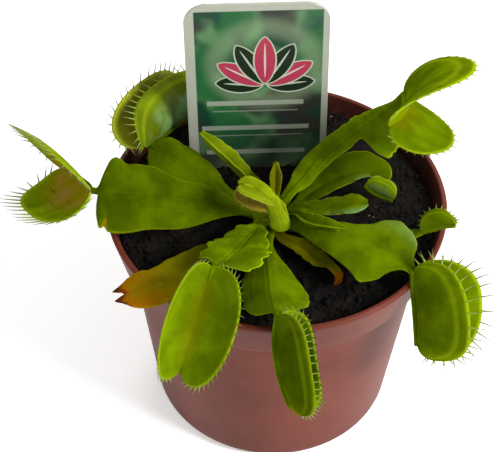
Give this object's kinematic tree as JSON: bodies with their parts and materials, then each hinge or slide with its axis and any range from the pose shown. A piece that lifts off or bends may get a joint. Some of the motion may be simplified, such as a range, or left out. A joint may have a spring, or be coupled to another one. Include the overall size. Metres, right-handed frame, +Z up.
{
  "type": "potted venus flytrap",
  "caption": "Potted Venus flytrap: a rosette of winged leaves with toothed snap traps, growing from a soil filled round pot with a stake label.",
  "frame": {"origin": "centre of the pot's flat underside", "axes": "+Z up, -Y towards the front of the plant, +X to the right as seen from the front"},
  "size_m": [0.131, 0.1071, 0.1232],
  "materials": {
    "pot_plastic": "moulded, slightly glossy terracotta brown plastic",
    "peat": "dark, crumbly peat",
    "tag_plastic": "smooth printed plastic with a pale border",
    "crown_flesh": "smooth pale green plant flesh",
    "leaf_green": "waxy yellow green leaf",
    "leaf_young": "waxy pale green young leaf",
    "leaf_brown": "dry yellow and brown leaf"
  },
  "bodies": {
    "root": {"pot": "pot_plastic", "soil": "peat", "plant_tag": "tag_plastic", "crown": "crown_flesh", "leaf_left": "leaf_green", "leaf_upper_left": "leaf_green", "leaf_right": "leaf_green", "leaf_front": "leaf_green", "leaf_lower_left": "leaf_green", "leaf_upper_right": "leaf_green", "leaf_low_right": "leaf_green", "leaf_shaded": "leaf_green", "leaf_short": "leaf_green", "leaf_folded": "leaf_green", "leaf_centre": "leaf_young", "leaf_narrow": "leaf_young", "leaf_bud": "leaf_young", "leaf_dying": "leaf_brown", "leaf_withering": "leaf_brown"}
  },
  "joints": []
}
